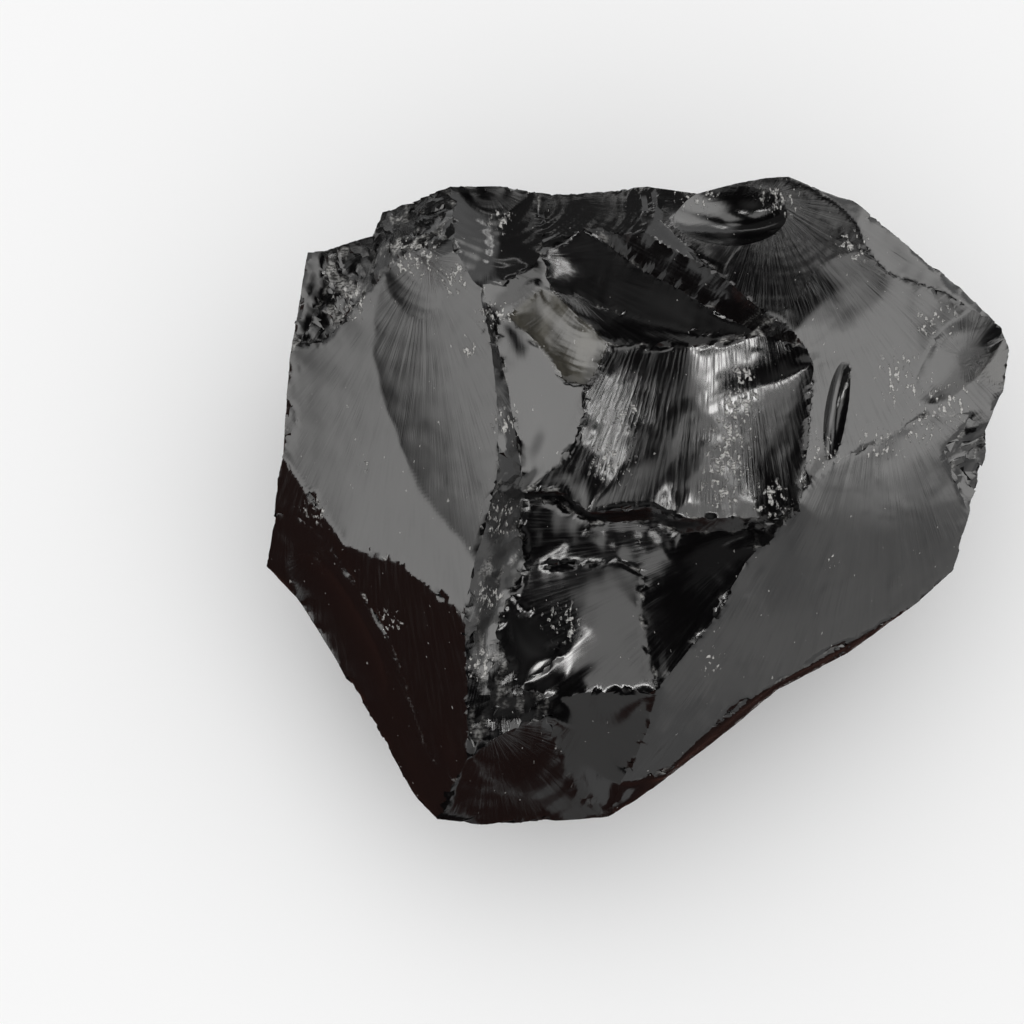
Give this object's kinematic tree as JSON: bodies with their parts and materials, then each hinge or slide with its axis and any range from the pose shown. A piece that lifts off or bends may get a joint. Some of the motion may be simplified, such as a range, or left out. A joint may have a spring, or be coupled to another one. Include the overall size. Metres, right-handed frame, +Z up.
{
  "type": "obsidian chunk",
  "caption": "Fist-sized chunk of black obsidian with conchoidal break scars, lying on its flat back.",
  "frame": {"origin": "centre of the bounding box, on the plane that the chunk rests on", "axes": "+Z up out of the broken front, +Y towards the top of the front, +X to the right across it"},
  "size_m": [0.1254, 0.1058, 0.0597],
  "materials": {
    "obsidian": "glossy broken volcanic glass, near black"
  },
  "bodies": {
    "root": {"stone": "obsidian"}
  },
  "joints": []
}
